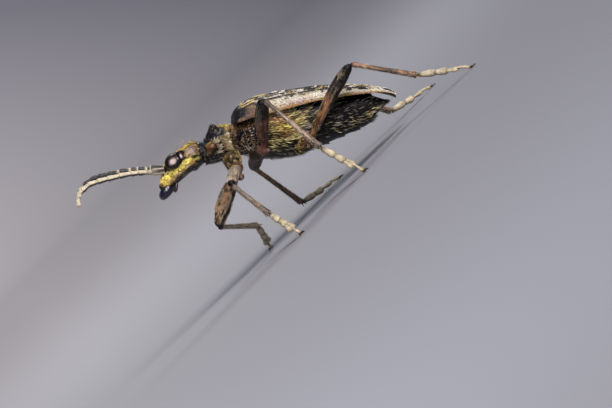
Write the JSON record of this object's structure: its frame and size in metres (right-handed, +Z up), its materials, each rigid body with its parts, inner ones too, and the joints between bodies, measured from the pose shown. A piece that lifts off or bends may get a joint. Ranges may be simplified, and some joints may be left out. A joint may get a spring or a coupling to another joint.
{
  "type": "longhorn beetle",
  "caption": "Still, life-size model of a ribbed longhorn beetle standing with its head raised, feelers forward and legs spread.",
  "frame": {"origin": "middle of the model's box, on the floor that the six feet stand on", "axes": "+X from head to tail, +Y to the beetle's right, +Z up"},
  "size_m": [0.0268, 0.019, 0.0129],
  "materials": {
    "head": "black chitin under dense golden hair",
    "eye": "glossy black, faceted",
    "mandible": "glossy black horn",
    "antenna": "dark chitin under cream hair",
    "pronotum": "glossy punctured black with gold-brown hair",
    "thorax": "dark chitin under combed golden hair",
    "abdomen": "glossy black with thin grey hair",
    "elytron": "ribbed shell mottled cream, ochre and black",
    "coxa": "red-brown chitin, thinly haired",
    "femur": "red-brown to grey-black chitin with pale hair",
    "tibia": "light brown chitin with pale hair",
    "tarsus": "cream haired pads with brown claws"
  },
  "bodies": {
    "root": {"head": "head", "pronotum": "pronotum", "thorax": "thorax", "abdomen": "abdomen", "eye_left": "eye", "mandible_left": "mandible", "antenna_left": "antenna", "elytron_left": "elytron", "eye_right": "eye", "mandible_right": "mandible", "antenna_right": "antenna", "elytron_right": "elytron", "coxa_front_left": "coxa", "femur_front_left": "femur", "tibia_front_left": "tibia", "tarsus_front_left": "tarsus", "coxa_front_right": "coxa", "femur_front_right": "femur", "tibia_front_right": "tibia", "tarsus_front_right": "tarsus", "coxa_mid_left": "coxa", "femur_mid_left": "femur", "tibia_mid_left": "tibia", "tarsus_mid_left": "tarsus", "coxa_mid_right": "coxa", "femur_mid_right": "femur", "tibia_mid_right": "tibia", "tarsus_mid_right": "tarsus", "coxa_hind_left": "coxa", "femur_hind_left": "femur", "tibia_hind_left": "tibia", "tarsus_hind_left": "tarsus", "coxa_hind_right": "coxa", "femur_hind_right": "femur", "tibia_hind_right": "tibia", "tarsus_hind_right": "tarsus"}
  },
  "joints": []
}
